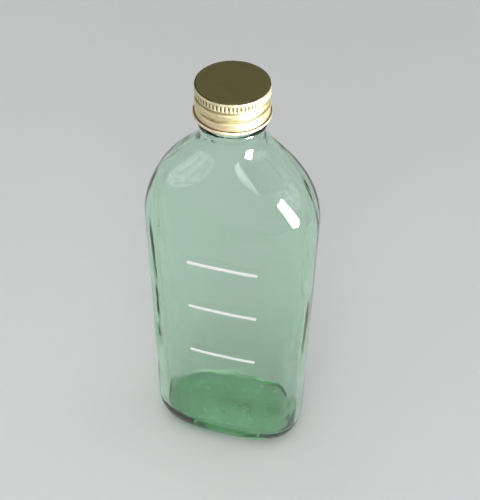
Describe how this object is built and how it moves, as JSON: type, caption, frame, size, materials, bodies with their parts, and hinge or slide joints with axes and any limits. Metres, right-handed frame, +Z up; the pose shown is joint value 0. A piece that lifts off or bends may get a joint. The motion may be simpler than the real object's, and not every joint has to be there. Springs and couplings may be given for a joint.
{
  "type": "glass flask bottle",
  "caption": "Flat oval glass flask with round shoulders, short printed lines on its front and a knurled aluminium screw cap that unscrews from a threaded neck.",
  "frame": {"origin": "on the floor, at the middle of the bottle's base", "axes": "+Z up along the neck, X across the width, Y along the depth, with the printed lines facing -Y"},
  "size_m": [0.0726, 0.0426, 0.2039],
  "materials": {
    "bottle_glass": "polished clear glass with a faint green tint",
    "white_enamel": "white ceramic enamel, fired on",
    "gold_aluminium": "satin, pale gold lacquer",
    "liner_foam": "matt white foam wad"
  },
  "bodies": {
    "bottle": {"glass_bottle": "bottle_glass", "printed_line_upper": "white_enamel", "printed_line_middle": "white_enamel", "printed_line_lower": "white_enamel"},
    "liner": {"cap_liner": "liner_foam"},
    "cap": {"cap_shell": "gold_aluminium"}
  },
  "joints": [
    {"name": "cap_lift", "type": "slide", "parent": "bottle", "child": "liner", "axis": [0, 0, 1], "range_m": [0, 0.01694]},
    {"name": "cap_turn", "type": "hinge", "parent": "liner", "child": "cap", "pos_m": [0, 0, 0.19], "axis": [0, 0, 1], "range_deg": [0, 1440]}
  ],
  "couplings": [
    {"joint": "cap_lift", "follows": "cap_turn", "m_per_rad": 0.0006737}
  ]
}
